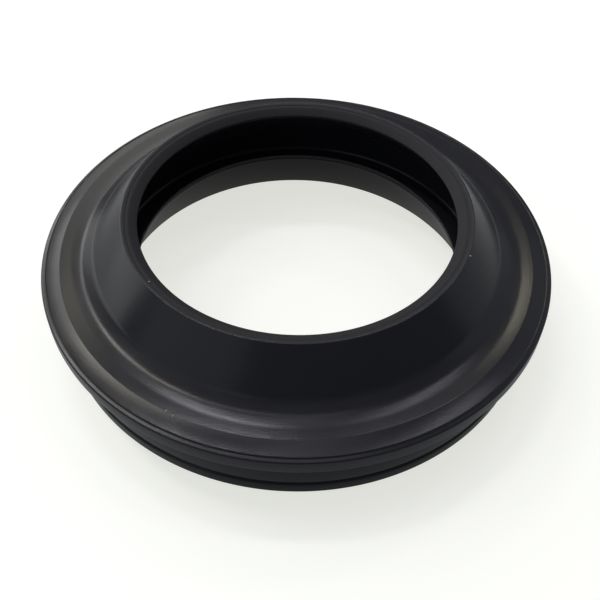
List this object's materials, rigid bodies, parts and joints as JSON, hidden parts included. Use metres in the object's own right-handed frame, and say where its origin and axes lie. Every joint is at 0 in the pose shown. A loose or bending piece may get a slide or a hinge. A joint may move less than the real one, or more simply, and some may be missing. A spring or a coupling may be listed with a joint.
{
  "type": "fork dust seal",
  "caption": "Moulded rubber dust seal for a telescopic fork: a coned wiper lip on a flange, over a ribbed spigot that presses into the fork leg.",
  "frame": {"origin": "centre of the spigot's flat end face, on the seal's axis", "axes": "+Z along the seal's axis from the spigot towards the wiper lip; X and Y are any two directions across it, because the ring is the same all round"},
  "size_m": [0.042, 0.042, 0.0109],
  "materials": {
    "black_rubber": "smooth moulded skin, satin, with faint mould and handling marks"
  },
  "bodies": {
    "root": {"dust_seal": "black_rubber"}
  },
  "joints": []
}
